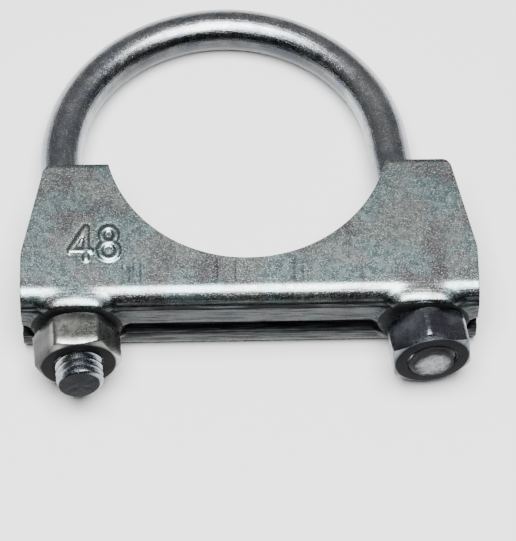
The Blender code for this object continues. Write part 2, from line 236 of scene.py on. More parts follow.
def thread_shell(crest, root, pitch, low, high, steps, limit):
    """Right-hand thread about Z between two levels, open at both ends."""
    built = bmesh.new()
    first = math.floor(low / pitch) - 2
    turns = math.ceil((high - low) / pitch) + 4
    chain = [(-0.5, root), (-0.38, root), (-0.24, (root + crest) / 2), (-0.09, crest),
             (0.0, crest), (0.09, crest), (0.24, (root + crest) / 2), (0.38, root), (0.5, root)]
    verts = [built.verts.new((radius, 0, (first + offset) * pitch)) for offset, radius in chain]
    edges = [built.edges.new(pair) for pair in zip(verts, verts[1:])]
    bmesh.ops.spin(built, geom=verts + edges, cent=(0, 0, 0), axis=(0, 0, 1),
                   dvec=(0, 0, pitch / steps), angle=2 * math.pi * turns,
                   steps=steps * turns, use_merge=False)
    bmesh.ops.remove_doubles(built, verts=built.verts, dist=CLEAN_DISTANCE)
    for level, way in ((low, -1), (high, 1)):
        everything = built.verts[:] + built.edges[:] + built.faces[:]
        bmesh.ops.bisect_plane(built, geom=everything, dist=1e-7, plane_co=(0, 0, level),
                               plane_no=(0, 0, way), clear_outer=True)
    for vert in built.verts:
        radius = math.hypot(vert.co.x, vert.co.y)
        wanted = limit(vert.co.z, radius, math.atan2(vert.co.y, vert.co.x))
        vert.co.x *= wanted / radius
        vert.co.y *= wanted / radius
    return built


def join(target, source, matrix):
    """Add one bmesh to another under a matrix."""
    source.transform(matrix)
    spare = bpy.data.meshes.new("spare")
    source.to_mesh(spare)
    source.free()
    target.from_mesh(spare)
    bpy.data.meshes.remove(spare)


def smooth(value, low, high):
    """Smooth step from 0 at low to 1 at high."""
    t = np.clip((value - low) / (high - low), 0.0, 1.0)
    return t * t * (3 - 2 * t)


def polyline(points, fractions):
    """Places at fractions of a polyline's length."""
    spots = np.array(points, dtype=float)
    steps = np.linalg.norm(np.diff(spots, axis=0), axis=1)
    run = np.concatenate([[0], np.cumsum(steps)])
    wanted = np.asarray(fractions) * run[-1]
    return np.stack([np.interp(wanted, run, spots[:, k]) for k in range(2)], axis=1)


def arc_points(centre, radius, start, end, steps):
    """Points on an arc; angles in degrees."""
    turn = np.radians(np.linspace(start, end, steps + 1))
    return np.stack([centre[0] + radius * np.cos(turn), centre[1] + radius * np.sin(turn)], 1)


# ---------------------------------------------------------------- where the rod lies

def joint(name):
    """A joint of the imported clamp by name."""
    for item in frame["record"]["behaviour"]["joints"]:
        if item["name"] == name:
            return item
    raise ValueError("no joint named " + name)


def leg(side):
    """Seat centre and direction towards the free end of a leg."""
    item = joint("nut_left_turn" if side < 0 else "nut_right_turn")
    return Vector(item["pos_m"]), -Vector(item["axis"]).normalized()


def rod_frame(arch_radius):
    """Matrix of the rod: X across the legs, Y towards the arch, origin at its centre."""
    (seat_l, way_l), (seat_r, way_r) = leg(-1), leg(1)
    up = way_l.cross(way_r).normalized()
    forward = -Vector(joint("u_bolt_draw")["axis"]).normalized()
    forward = (forward - up * forward.dot(up)).normalized()
    across = forward.cross(up)
    inside_l = up.cross(way_l) * (1 if up.cross(way_l).dot(across) > 0 else -1)
    inside_r = up.cross(way_r) * (-1 if up.cross(way_r).dot(across) > 0 else 1)
    first = seat_l + inside_l * arch_radius
    second = seat_r + inside_r * arch_radius
    gap = second - first
    lean = way_l.cross(way_r).length_squared
    reach = gap.cross(way_r).dot(way_l.cross(way_r)) / lean
    centre = first + way_l * reach
    axes = Matrix((across, forward, up)).transposed().to_4x4()
    return Matrix.Translation(centre) @ axes


def leg_frame(side, arch_radius):
    """Matrix of a leg in world space, Z towards its free end, and its seat's level."""
    whole = rod_frame(arch_radius)
    up = whole.to_3x3() @ Vector((0, 0, 1))
    seat, way = leg(side)
    centre = whole.translation
    reach = (seat - centre).dot(way)
    start = seat - way * reach
    axes = Matrix((up.cross(way), up, way)).transposed().to_4x4()
    return Matrix.Translation(start) @ axes, reach


# ---------------------------------------------------------------- saddle

def digit_relief(x, y, s):
    """Height of the raised digits at places on the cheek, from their strokes."""
    wide, tall = 3.5 * MM, 5.9 * MM
    left, foot = -29.7 * MM, s.axis_y - 23.8 * MM
    half = 0.60 * MM
    apex = (left + 0.74 * wide, foot + tall)
    elbow = (left, foot + 0.26 * tall)
    ends = [(apex, elbow), (elbow, (left + 0.95 * wide, foot + 0.26 * tall)),
            (apex, (left + 0.74 * wide, foot))]
    distance = np.full(x.shape, 1.0)
    for (ax, ay), (bx, by) in ends:
        dx, dy = bx - ax, by - ay
        t = np.clip(((x - ax) * dx + (y - ay) * dy) / (dx * dx + dy * dy), 0, 1)
        distance = np.minimum(distance, np.hypot(x - ax - t * dx, y - ay - t * dy))
    middle = left + 6.4 * MM
    for level, rx, ry in ((0.76, 0.35 * wide, 0.235 * tall), (0.265, 0.43 * wide, 0.265 * tall)):
        px, py = x - middle, y - foot - level * tall
        round_ = np.hypot(px / rx, py / ry)
        slope = np.hypot(px / rx ** 2, py / ry ** 2) / np.maximum(round_, 1e-6)
        distance = np.minimum(distance, np.abs(round_ - 1) / np.maximum(slope, 1e-6))
    ridge = np.sqrt(np.clip(1 - (distance / half) ** 2, 0, 1)) ** 1.3
    moat = np.exp(-((distance - 1.35 * half) / (0.45 * half)) ** 2)
    return s.digit_height * (ridge - 0.10 * moat)


def sheet_waves(x, y):
    """Slow unevenness of the pressed sheet."""
    rise = 0.5 * np.sin(310 * x + 190 * y + 0.7) + 0.3 * np.sin(520 * x - 420 * y + 2.0)
    return (rise + 0.2 * np.sin(900 * x + 700 * y)) * 0.02 * MM


def saddle_columns(s):
    """Places of the columns along the bend, and the half width of the mouth."""
    half, mouth = s.side_half, 21.0 * MM
    parts = [
        np.linspace(-half, -32.0 * MM, 17), np.linspace(-32.0 * MM, -mouth, 64)[1:],
        np.linspace(-mouth, -14.0 * MM, 42)[1:], np.linspace(-14.0 * MM, mouth, 66)[1:],
        np.linspace(mouth, 32.0 * MM, 33)[1:],
        np.linspace(32.0 * MM, half, 17)[1:]]
    return np.concatenate(parts), mouth


def cheek_edges(s, columns, mouth, bend_y):
    """Sides of a cheek patch: bend line, outline and right end."""
    axis, radius, drop = s.axis_y, s.pipe_radius, s.flat_drop
    edge = math.sqrt(radius ** 2 - drop ** 2)
    corner, shoulder = 1.6 * MM, 6.4 * MM
    slope = math.atan2(s.side_half - s.flat_half, s.shoulder_drop - drop)
    reach = corner * math.tan((math.pi / 2 - slope) / 2)
    mid = (s.flat_half - reach, axis - drop - corner)
    turn = arc_points(mid, corner, 90, math.degrees(slope), 10)
    knee = shoulder * math.tan(slope / 2)
    bow_centre = (s.side_half - shoulder, axis - s.shoulder_drop - knee)
    bow = arc_points(bow_centre, shoulder, 0, math.degrees(slope), 8)
    side = np.concatenate([[(s.side_half, bend_y)], bow, turn[:4:-1]])
    flat = np.concatenate([turn[5::-1], [(edge, axis - drop)]])
    sweep = math.degrees(math.asin(drop / radius))
    bowl = arc_points((0, axis), radius, 180 + sweep, 360 - sweep, 120)
    outline = []
    for x in columns:
        if x < -mouth - 1e-9:
            t = (x + s.side_half) / (s.side_half - mouth)
            spot = polyline(flat * (-1, 1), [t])[0]
        elif x > mouth + 1e-9:
            t = (s.side_half - x) / (s.side_half - mouth)
            spot = polyline(flat, [t])[0]
        else:
            spot = polyline(bowl, [(x + mouth) / (2 * mouth)])[0]
        outline.append(spot)
    line = np.stack([columns, np.full(len(columns), bend_y)], 1)
    return line, np.array(outline), side


def cheek_patch(s, columns, mouth, bend_y, rows):
    """Grid of (x, y) over a cheek, from bend line to outline."""
    line, outline, side = cheek_edges(s, columns, mouth, bend_y)
    right = polyline(side, rows)
    left = right * (-1, 1)
    u = ((columns + s.side_half) / (2 * s.side_half))[None, :, None]
    v = rows[:, None, None]
    grid = (1 - v) * line[None] + v * outline[None] + (1 - u) * left[:, None] + u * right[:, None]
    grid -= (1 - u) * (1 - v) * line[0] + u * (1 - v) * line[-1]
    grid -= (1 - u) * v * outline[0] + u * v * outline[-1]
    return grid


def web_rows():
    """Levels across the web, closest together at its pressed lines."""
    marks = [13.78, 13.70, 13.64, 13.58, 13.46, 13.2, 12.85, 12.5, 12.15, 11.8, 11.4, 11.0, 10.6,
             10.2, 9.8, 9.45, 9.15, 8.98, 8.90, 8.80, 8.68, 8.55, 8.45, 8.2, 7.9, 7.55, 7.2, 6.85,
             6.5, 6.2, 5.9, 5.7, 5.56, 5.50, 5.44, 5.38, 5.30, 5.1, 4.8, 4.45, 4.1, 3.75, 3.4]
    return np.array(marks) * MM


def web_level(z, s):
    """Outside of the web at a level, below the pipe axis."""
    keys = np.array([3.1, 5.36, 5.46, 5.52, 8.50, 8.86, 8.96, 13.56, 13.70, 15.0]) * MM
    drops = np.array([0, 0, -0.12, -1.3, -1.3, -0.12, 0, 0, -0.42, -0.45]) * MM
    return s.web_drop + np.interp(z, keys, drops)


def section(s):
    """Matched outside and inside points (y, z, swing) from the upper cheek to the lower."""
    axis, top = s.axis_y, s.depth
    outer, inner, push = [], [], []

    def add_bend(centre, turns):
        """Add the rows of one long bend."""
        for turn in np.radians(turns):
            way = np.array([math.cos(turn), math.sin(turn)])
            outer.append(np.array(centre) + s.bend * way)
            inner.append(np.array(centre) + (s.bend - s.sheet) * way)
            push.append(way)

    add_bend((-s.web_drop + 0.42 * MM + s.bend, top - s.bend), np.linspace(90, 161, 13))
    for z in web_rows():
        outer.append(np.array([-web_level(z, s), z]))
        bulge = smooth(z, 4.3 * MM, 5.4 * MM) * (1 - smooth(z, 8.6 * MM, 9.7 * MM))
        level = -s.web_drop + s.sheet + 1.3 * MM * bulge
        inner.append(np.array([level, np.clip(z, s.bend, top - s.bend)]))
        push.append(np.array([-1.0, 0.0]))
    add_bend((-s.web_drop + s.bend, s.bend), np.linspace(180, 270, 14))
    outer, inner, push = (np.array(item) for item in (outer, inner, push))
    outer[:, 0] += axis
    inner[:, 0] += axis
    return outer, inner, push


def sheet_sides(s):
    """Outside and inside of the saddle as grids of points, rows by columns."""
    columns, mouth = saddle_columns(s)
    outer_line, inner_line, push = section(s)
    count = len(columns)
    fine = np.concatenate([np.linspace(0, 0.12, 6), np.linspace(0.12, 0.52, 48)[1:],
                           np.linspace(0.52, 0.96, 15)[1:], [1.0]])
    coarse = np.concatenate([np.linspace(0, 0.96, 17), [1.0]])
    sides = []
    for line, cheek_high, cheek_low, outside in (
            (outer_line, s.depth, 0.0, True),
            (inner_line, s.depth - s.sheet, s.sheet, False)):
        upper = cheek_patch(s, columns, mouth, line[0, 0], fine)[::-1]
        lower = cheek_patch(s, columns, mouth, line[-1, 0], coarse)
        rise = np.full(upper.shape[:2], cheek_high)
        wave = sheet_waves(upper[..., 0], upper[..., 1])
        fade = np.linspace(1, 0, upper.shape[0])[:, None]
        rise = rise + wave * np.clip(fade * 6, 0, 1)
        if outside:
            rise = rise + digit_relief(upper[..., 0], upper[..., 1], s)
        web = np.zeros((len(line), count, 3))
        web[..., 0] = columns
        web[..., 1] = line[:, 0:1]
        web[..., 2] = line[:, 1:2]
        raise_seats(web, push, s, outside)
        high = np.concatenate([upper, rise[..., None]], 2)
        low = np.concatenate([lower, np.full(lower.shape[:2], cheek_low)[..., None]], 2)
        sides.append(np.concatenate([high[:-1], web, low[1:]]))
    return sides


def raise_seats(web, push, s, outside):
    """Press the two round seats outwards, over the bends."""
    inset = 0.0 if outside else s.sheet
    level = s.axis_y - s.web_drop - s.seat_height + inset
    way_y, way_z = push[:, 0:1], push[:, 1:2]
    sharpness = 4.5
    for x in (-s.hole_x, s.hole_x):
        distance = np.hypot(web[..., 0] - x, web[..., 2] - s.depth / 2 - 0.5 * MM)
        weight = 1 - smooth(distance, s.seat_radius, s.seat_radius + 2.1 * MM)
        out = (web[..., 1] - level) / np.maximum(-way_y, 1e-4)
        top = (s.depth - inset - web[..., 2]) / np.maximum(way_z, 1e-4)
        base = (web[..., 2] - inset) / np.maximum(-way_z, 1e-4)
        limits = [np.maximum(item, 0) + s.bend for item in (out, top, base)]
        reach = sum(item ** -sharpness for item in limits) ** (-1 / sharpness)
        room = np.maximum(reach - s.bend, 0) * weight
        web[..., 1] += room * way_y
        web[..., 2] += room * way_z


def map_grid(built, points):
    """Add a grid whose vertices take the places in points."""
    rows, columns = points.shape[:2]
    made = bmesh.ops.create_grid(built, x_segments=columns - 1, y_segments=rows - 1, size=1.0)
    for vert in made["verts"]:
        i = round((vert.co.x + 1) / 2 * (columns - 1))
        j = round((vert.co.y + 1) / 2 * (rows - 1))
        vert.co = points[j, i]


def cut_holes(piece, s):
    """Cut the two round holes for the rod's legs."""
    for x in (-s.hole_x, s.hole_x):
        built = bmesh.new()
        spot = Matrix.Translation((x, s.axis_y - s.web_drop, s.hole_z))
        turn = Matrix.Rotation(math.radians(90), 4, "X")
        bmesh.ops.create_cone(built, cap_ends=True, segments=HOLE_STEPS, radius1=s.hole_radius,
                              radius2=s.hole_radius, depth=12 * MM, matrix=spot @ turn)
        mesh = bpy.data.meshes.new("hole_cutter")
        built.to_mesh(mesh)
        built.free()
        cutter = bpy.data.objects.new("hole_cutter", mesh)
        bpy.context.scene.collection.objects.link(cutter)
        step = piece.modifiers.new("hole", "BOOLEAN")
        step.operation = "DIFFERENCE"
        step.solver = "EXACT"
        step.object = cutter
        bpy.context.view_layer.update()
        view = bpy.context.evaluated_depsgraph_get()
        cut = bpy.data.meshes.new_from_object(piece.evaluated_get(view))
        piece.modifiers.clear()
        old = piece.data
        piece.data = cut
        bpy.data.meshes.remove(old)
        bpy.data.objects.remove(cutter, do_unlink=True)


def saddle_mesh(s):
    """The pressed sheet as one closed skin with softened cut edges."""
    built = bmesh.new()
    for points in sheet_sides(s):
        map_grid(built, points)
    rim = [edge for edge in built.edges if edge.is_boundary]
    bmesh.ops.bridge_loops(built, edges=rim)
    bmesh.ops.recalc_face_normals(built, faces=built.faces)
    bmesh.ops.bevel(built, geom=rim, offset=0.13 * MM, offset_type="OFFSET", segments=2,
                    profile=0.5, affect="EDGES", clamp_overlap=True, material=-1)
    return built


# ---------------------------------------------------------------- rod

def rod_thread(side, s, nuts):
    """One leg's thread in leg space, with its faded start and rough end."""
    _, seat = leg_frame(side, s.arch_radius)
    proud = s.stud_left if side < 0 else s.stud_right
    low = s.thread_start
    high = seat + nuts.height + proud
    root = s.crest - s.thread_depth

    def limit(level, radius, angle):
        """Fade at the start and chamfer at the end."""
        mix = min(1.0, (level - low) / s.pitch)
        size = s.radius + (radius - s.radius) * mix
        worn = noise.noise(Vector((level * 900, angle * 2.0, side * 3.0))) * 0.035 * MM
        cone = root + 0.30 * MM + (high - level) * 0.9
        return min(size + worn * mix, cone)

    shell = thread_shell(s.crest, root, s.pitch, low, high, s.steps, limit)
    loops = boundary_loops(shell)
    end = max(loops, key=lambda item: loop_centre(item).z)
    dome = 0.10 * MM if side < 0 else 0.26 * MM
    uneven = 0.10 * MM if side < 0 else 0.42 * MM
    for share in (0.93, 0.82, 0.68, 0.52, 0.36, 0.2, 0.08):
        def place(spot, share=share):
            """Close the end face in, with a rough dome."""
            flat = Vector((spot.x, spot.y, 0)).normalized() * (root + 0.2 * MM) * share
            rough = noise.fractal(Vector((flat.x, flat.y, side * 0.01)) * 900, 1.0, 2.0, 3)
            level = high + dome * (1 - share ** 2) + rough * uneven * min(1, 2.5 * (1 - share))
            return Vector((flat.x, flat.y, level))
        end = extrude_loop(shell, end, place)
    bmesh.ops.pointmerge(shell, verts=list({v for e in end for v in e.verts}),
                         merge_co=(0, 0, high + dome))
    return shell, low


def rod_mesh(s, nuts):
    """The bent rod in its own space, then placed in the clamp."""
    built = bmesh.new()
    whole = rod_frame(s.arch_radius)
    back = whole.inverted()
    legs = {side: back @ leg_frame(side, s.arch_radius)[0] for side in (-1, 1)}
    start = legs[1].translation
    splay = math.atan2(start.y, start.x)
    circle = bmesh.ops.create_circle(built, cap_ends=False, segments=s.steps, radius=s.radius,
                                     matrix=legs[1])["verts"]
    ring = list({edge for vert in circle for edge in vert.link_edges})
    bmesh.ops.spin(built, geom=circle + ring, cent=(0, 0, 0), axis=(0, 0, 1),
                   angle=math.pi - 2 * splay, steps=ARCH_STEPS, use_merge=False)
    threads = {side: rod_thread(side, s, nuts) for side in (-1, 1)}
    for loop in boundary_loops(built):
        side = 1 if loop_centre(loop).x > 0 else -1
        way = legs[side].to_3x3() @ Vector((0, 0, 1))
        step = way * (threads[side][1] - THREAD_JOIN) / LEG_STEPS
        for _ in range(LEG_STEPS):
            loop = extrude_loop(built, loop, lambda spot, step=step: spot + step)
    for side, (shell, _) in threads.items():
        join(built, shell, legs[side])
    for side in (-1, 1):
        near = [loop for loop in boundary_loops(built) if loop_centre(loop).x * side > 0]
        bridge_pair(built, near)
    return built, whole, splay


def rod_painted_shade(spot, seat, side, facing, s, nuts):
    """Painted shade at a place in leg space, and a slightly darker thread; facing is how far it looks
    towards the nuts.
    """
    tip = seat + nuts.height + (s.stud_left if side < 0 else s.stud_right)
    rim = smooth(math.hypot(spot.x, spot.y), 1.6 * MM, 3.2 * MM)
    end = smooth(spot.z, tip - 0.25 * MM, tip - 0.05 * MM)
    thread = smooth(spot.z, s.thread_start, s.thread_start + MM)
    # Painted shade on the side that looks towards the nuts, away from the thread.
    under = 0.78 * smooth(facing, 0.25, 0.75) * (1 - thread)
    # Painted shade on the stud ends; on the right stud the rim and its chamfer are painted darker
    # than the middle.
    if side < 0:
        tone = end * 0.965
    else:
        mouth = 0.96 * rim * smooth(spot.z, tip - 1.5 * MM, tip - 0.9 * MM)
        tone = max(end * (0.55 + 0.42 * rim), mouth)
    return float(max(0.12 * thread, under, tone))


def mark_rod(piece, whole, splay, s, nuts):
    """Store each point's place along the rod, and the painted shade on its thread, its side towards
    the nuts and its ends.
    """
    back = whole.inverted()
    piece.data.attributes.new("along_rod", "FLOAT_VECTOR", "POINT")
    piece.data.attributes.new("painted_shade", "FLOAT", "POINT")
    field = piece.data.attributes["along_rod"]
    # stain holds the painted shade attribute, not a real stain.
    stain = piece.data.attributes["painted_shade"]
    legs = {}
    for side in (-1, 1):
        matrix, seat = leg_frame(side, s.arch_radius)
        legs[side] = (matrix.inverted(), seat)
    for index, vert in enumerate(piece.data.vertices):
        spot = back @ vert.co
        side = 1 if spot.x > 0 else -1
        turn = math.atan2(spot.y, spot.x)
        if splay < turn < math.pi - splay:
            run, out = s.arch_radius * turn, math.hypot(spot.x, spot.y) - s.arch_radius
        else:
            fall = spot.y * math.cos(splay) - side * spot.x * math.sin(splay)
            out = abs(spot.x) * math.cos(splay) + spot.y * math.sin(splay) - s.arch_radius
            run = fall if side > 0 else math.pi * s.arch_radius - fall
        field.data[index].vector = (run, out, spot.z)
        to_leg, seat = legs[side]
        local = to_leg @ vert.co
        stain.data[index].value = rod_painted_shade(local, seat, side, -vert.normal.y, s, nuts)


# ---------------------------------------------------------------- nuts

def hex_reach(angle, turn, s):
    """Axis to the side of the hexagon, with worn corners."""
    flat = s.across_flats / 2
    swing = (angle - turn + math.radians(30)) % math.radians(60) - math.radians(30)
    swing = math.radians(30) - abs(swing)
    plain = flat / math.cos(swing)
    over = plain - s.corner_radius + 0.12 * MM
    return plain - 0.75 * max(0.0, over)


def nut_rings(turn, s, mouth):
    """Rings of a nut's outside, from the seat face to the outer face."""
    face = s.across_flats / 2 - 0.33 * MM
    pitch = math.tan(math.radians(30))

    def chamfer(angle):
        return (hex_reach(angle, turn, s) - face) * pitch

    rings = [lambda a: (mouth, 0.0), lambda a: (mouth + 0.12 * MM, 0.0),
             lambda a: (face - 0.08 * MM, 0.0), lambda a: (face + 0.02 * MM, 0.02 * MM)]
    for share in (0.35, 0.7):
        rings.append(lambda a, t=share: (face + (hex_reach(a, turn, s) - face) * t, chamfer(a) * t))
    rings.append(lambda a: (hex_reach(a, turn, s) - 0.05 * MM, chamfer(a) - 0.03 * MM))
    rings.append(lambda a: (hex_reach(a, turn, s), chamfer(a) + 0.05 * MM))
    lower = list(rings)
    for share in (0.3, 0.5, 0.7):
        rings.append(lambda a, t=share: (hex_reach(a, turn, s), s.height * t))
    for ring in reversed(lower):
        rings.append(lambda a, r=ring: (r(a)[0], s.height - r(a)[1]))
    return rings


def mark_nut(piece, side, s, rod):
    """Store painted shade: outer face, foot, bore, the left nut's flank and the sides that look down.
    """
    matrix, seat = leg_frame(side, rod.arch_radius)
    back = matrix.inverted()
    field = piece.data.attributes.new("painted_shade", "FLOAT", "POINT")
    for index, vert in enumerate(piece.data.vertices):
        spot = back @ vert.co
        level = spot.z - seat
        reach = math.hypot(spot.x, spot.y)
        # All of these are painted shade: dark reflection on the outer face, shadow at the foot and in
        # the bore, shade on the flank and undersides.
        outer = 0.985 * smooth(level, s.height - 0.30 * MM, s.height - 0.02 * MM)
        foot = 0.9 * (1 - smooth(level, 0.05 * MM, 0.5 * MM))
        bore = 0.8 if reach < 4.6 * MM else 0.0
        flank = 0.90 * smooth(-spot.x / reach, 0.35, 0.75) if side < 0 else 0.0
        under = 0.88 * smooth(-spot.y / reach, -0.1, 0.5)
        field.data[index].value = float(max(outer, foot, bore, flank, under))


def nut_mesh(side, s, rod):
    """A nut in leg space with its threaded bore."""
    matrix, seat = leg_frame(side, rod.arch_radius)
    turn = s.left_turn if side < 0 else s.right_turn
    crest = rod.crest + s.clearance
    root = crest - rod.thread_depth
    mouth = crest + 0.28 * MM
    built = bmesh.new()
    ring_stack(built, nut_rings(turn, s, mouth), NUT_STEPS)
    high = seat + s.height

    def limit(level, radius, angle):
        """Open both mouths with a countersink."""
        near = min(level - seat, high - level)
        return max(radius, mouth - near * 1.0)

    bore = thread_shell(crest, root, rod.pitch, seat, high, rod.steps, limit)
    join(built, bore, Matrix.Translation((0, 0, -seat)))
    loops = boundary_loops(built)
    for top in (False, True):
        level = s.height / 2
        bridge_pair(built, [loop for loop in loops if (loop_centre(loop).z > level) == top])
    built.transform(matrix @ Matrix.Translation((0, 0, seat)))
    return built


# ---------------------------------------------------------------- finishes

def link(tree, start, end):
    """Link two sockets."""
    tree.links.new(start, end)


def node(tree, kind, **values):
    """Add a node; names with a capital are input sockets."""
    made = tree.nodes.new(kind)
    for key, value in values.items():
        if key[0].isupper():
            made.inputs[key.replace("_", " ")].default_value = value
        else:
            setattr(made, key, value)
    return made


def math_node(tree, operation, first, second=None, third=None, clamp=False):
    """A Math node fed by sockets or plain numbers."""
    made = tree.nodes.new("ShaderNodeMath")
    made.operation = operation
    made.use_clamp = clamp
    for index, value in enumerate((first, second, third)):
        if value is None:
            continue
        if isinstance(value, (int, float)):
            made.inputs[index].default_value = value
        else:
            link(tree, value, made.inputs[index])
    return made.outputs[0]


def noise_mask(tree, vector, scale, detail, low, high, roughness=0.55):
    """Noise stretched between two levels to a 0 to 1 mask."""
    grain = node(tree, "ShaderNodeTexNoise", Scale=scale, Detail=detail, Roughness=roughness)
    link(tree, vector, grain.inputs["Vector"])
    span = node(tree, "ShaderNodeMapRange", From_Min=low, From_Max=high)
    span.interpolation_type = "SMOOTHSTEP"
    link(tree, grain.outputs["Fac"], span.inputs["Value"])
    return span.outputs["Result"]


def rise(tree, value, low, high):
    """Go evenly from 0 where a value is low to 1 where it is high."""
    span = node(tree, "ShaderNodeMapRange", From_Min=low, From_Max=high)
    link(tree, value, span.inputs["Value"])
    return span.outputs["Result"]


def mix_colour(tree, factor, first, second):
    """Mix two colours or sockets."""
    made = tree.nodes.new("ShaderNodeMix")
    made.data_type = "RGBA"
    for name, value in (("Factor", factor), ("A", first), ("B", second)):
        kind = "VALUE" if name == "Factor" else "RGBA"
        socket = next(item for item in made.inputs if item.name == name and item.type == kind)
        if hasattr(value, "is_output"):
            link(tree, value, socket)
        elif name == "Factor":
            socket.default_value = value
        else:
            socket.default_value = (*tuple(value)[:3], 1.0)
    return next(item for item in made.outputs if item.type == "RGBA")


def new_group(name, inputs, outputs):
    """A shader node group with float, vector or colour sockets."""
    kinds = {"F": "NodeSocketFloat", "V": "NodeSocketVector", "C": "NodeSocketColor"}
    group = bpy.data.node_groups.new(name, "ShaderNodeTree")
    for label, kind, value in inputs:
        socket = group.interface.new_socket(label, in_out="INPUT", socket_type=kinds[kind])
        if value is not None:
            socket.default_value = value
    for label, kind in outputs:
        group.interface.new_socket(label, in_out="OUTPUT", socket_type=kinds[kind])
    return group, group.nodes.new("NodeGroupInput"), group.nodes.new("NodeGroupOutput")


def plating_group():
    """Mottled zinc plating: broad stains, small blotches, crystals and pits."""
    name = "zinc_plating"
    if name in bpy.data.node_groups:
        return bpy.data.node_groups[name]
    tree, start, end = new_group(
        name,
        [("Vector", "V", None), ("Light", "C", (0.5, 0.5, 0.5, 1)), ("Dark", "C", (0.3, 0.3, 0.3, 1)),
         ("Tint", "C", (0.4, 0.45, 0.42, 1)), ("Stain", "F", 0.5), ("Spark", "F", 0.35),
         ("Rough Low", "F", 0.3),
         ("Rough High", "F", 0.5)],
        [("Color", "C"), ("Roughness", "F"), ("Height", "F")])
    spot = start.outputs["Vector"]
    broad = noise_mask(tree, spot, 110.0, 2.0, 0.42, 0.60)
    blotch = noise_mask(tree, spot, 760.0, 6.0, 0.34, 0.68, 0.72)
    tint = noise_mask(tree, spot, 170.0, 3.0, 0.45, 0.60)
    crystal = noise_mask(tree, spot, 4200.0, 2.0, 0.52, 0.68, 0.7)
    pits = noise_mask(tree, spot, 3100.0, 2.0, 0.62, 0.74, 0.6)
    stain = math_node(tree, "MULTIPLY", broad, start.outputs["Stain"])
    spread = math_node(tree, "MULTIPLY", blotch, 0.55)
    cover = math_node(tree, "ADD", stain, spread, clamp=True)
    base = mix_colour(tree, cover, start.outputs["Light"], start.outputs["Dark"])
    tinted = mix_colour(tree, math_node(tree, "MULTIPLY", tint, 0.8), base, start.outputs["Tint"])
    spark = math_node(tree, "MULTIPLY", crystal, start.outputs["Spark"])
    bright = mix_colour(tree, spark, tinted, (0.93, 0.97, 0.98))
    pitted = mix_colour(tree, math_node(tree, "MULTIPLY", pits, 0.6), bright, (0.03, 0.03, 0.035))
    link(tree, pitted, end.inputs["Color"])
    rough = node(tree, "ShaderNodeMapRange")
    mixed = math_node(tree, "ADD", math_node(tree, "MULTIPLY", blotch, 0.6),
                      math_node(tree, "MULTIPLY", crystal, 0.4))
    link(tree, mixed, rough.inputs["Value"])
    link(tree, start.outputs["Rough Low"], rough.inputs["To Min"])
    link(tree, start.outputs["Rough High"], rough.inputs["To Max"])
    link(tree, rough.outputs["Result"], end.inputs["Roughness"])
    grain = math_node(tree, "ADD", math_node(tree, "MULTIPLY", crystal, 0.5),
                      math_node(tree, "MULTIPLY", blotch, 0.5))
    sunk = math_node(tree, "SUBTRACT", grain, math_node(tree, "MULTIPLY", pits, 0.8))
    link(tree, sunk, end.inputs["Height"])
    return tree


def plated(name, light, dark, tint, stain, spark, rough, bump):
    """Start a plated metal; returns the material with its tree, group and shader."""
    made = bpy.data.materials.new(name)
    made.use_nodes = True
    tree = made.node_tree
    shader = tree.nodes["Principled BSDF"]
    shader.inputs["Metallic"].default_value = 1.0
    coords = node(tree, "ShaderNodeTexCoord")
    group = node(tree, "ShaderNodeGroup", node_tree=plating_group())
    link(tree, coords.outputs["Object"], group.inputs["Vector"])
    for label, value in (("Light", light), ("Dark", dark), ("Tint", tint)):
        group.inputs[label].default_value = (*tuple(value)[:3], 1.0)
    group.inputs["Stain"].default_value = stain
    group.inputs["Spark"].default_value = spark
    group.inputs["Rough Low"].default_value, group.inputs["Rough High"].default_value = rough
    link(tree, group.outputs["Color"], shader.inputs["Base Color"])
    link(tree, group.outputs["Roughness"], shader.inputs["Roughness"])
    relief = node(tree, "ShaderNodeBump", Strength=1.0, Distance=bump)
    link(tree, group.outputs["Height"], relief.inputs["Height"])
    link(tree, relief.outputs["Normal"], shader.inputs["Normal"])
    return made, tree, group, shader, relief, coords


# Each streak's place along the saddle and half width in mm, and its darkness
STREAKS = (
    (-21.0, 0.3, 0.8), (-20.0, 0.35, 0.9), (-19.2, 0.3, 0.8), (-18.1, 0.35, 0.9), (-5.4, 0.35, 0.7),
    (-2.4, 0.3, 0.8), (7.4, 0.5, 0.9), (8.8, 0.35, 0.8), (18.6, 0.3, 0.7), (27.8, 0.3, 0.5))


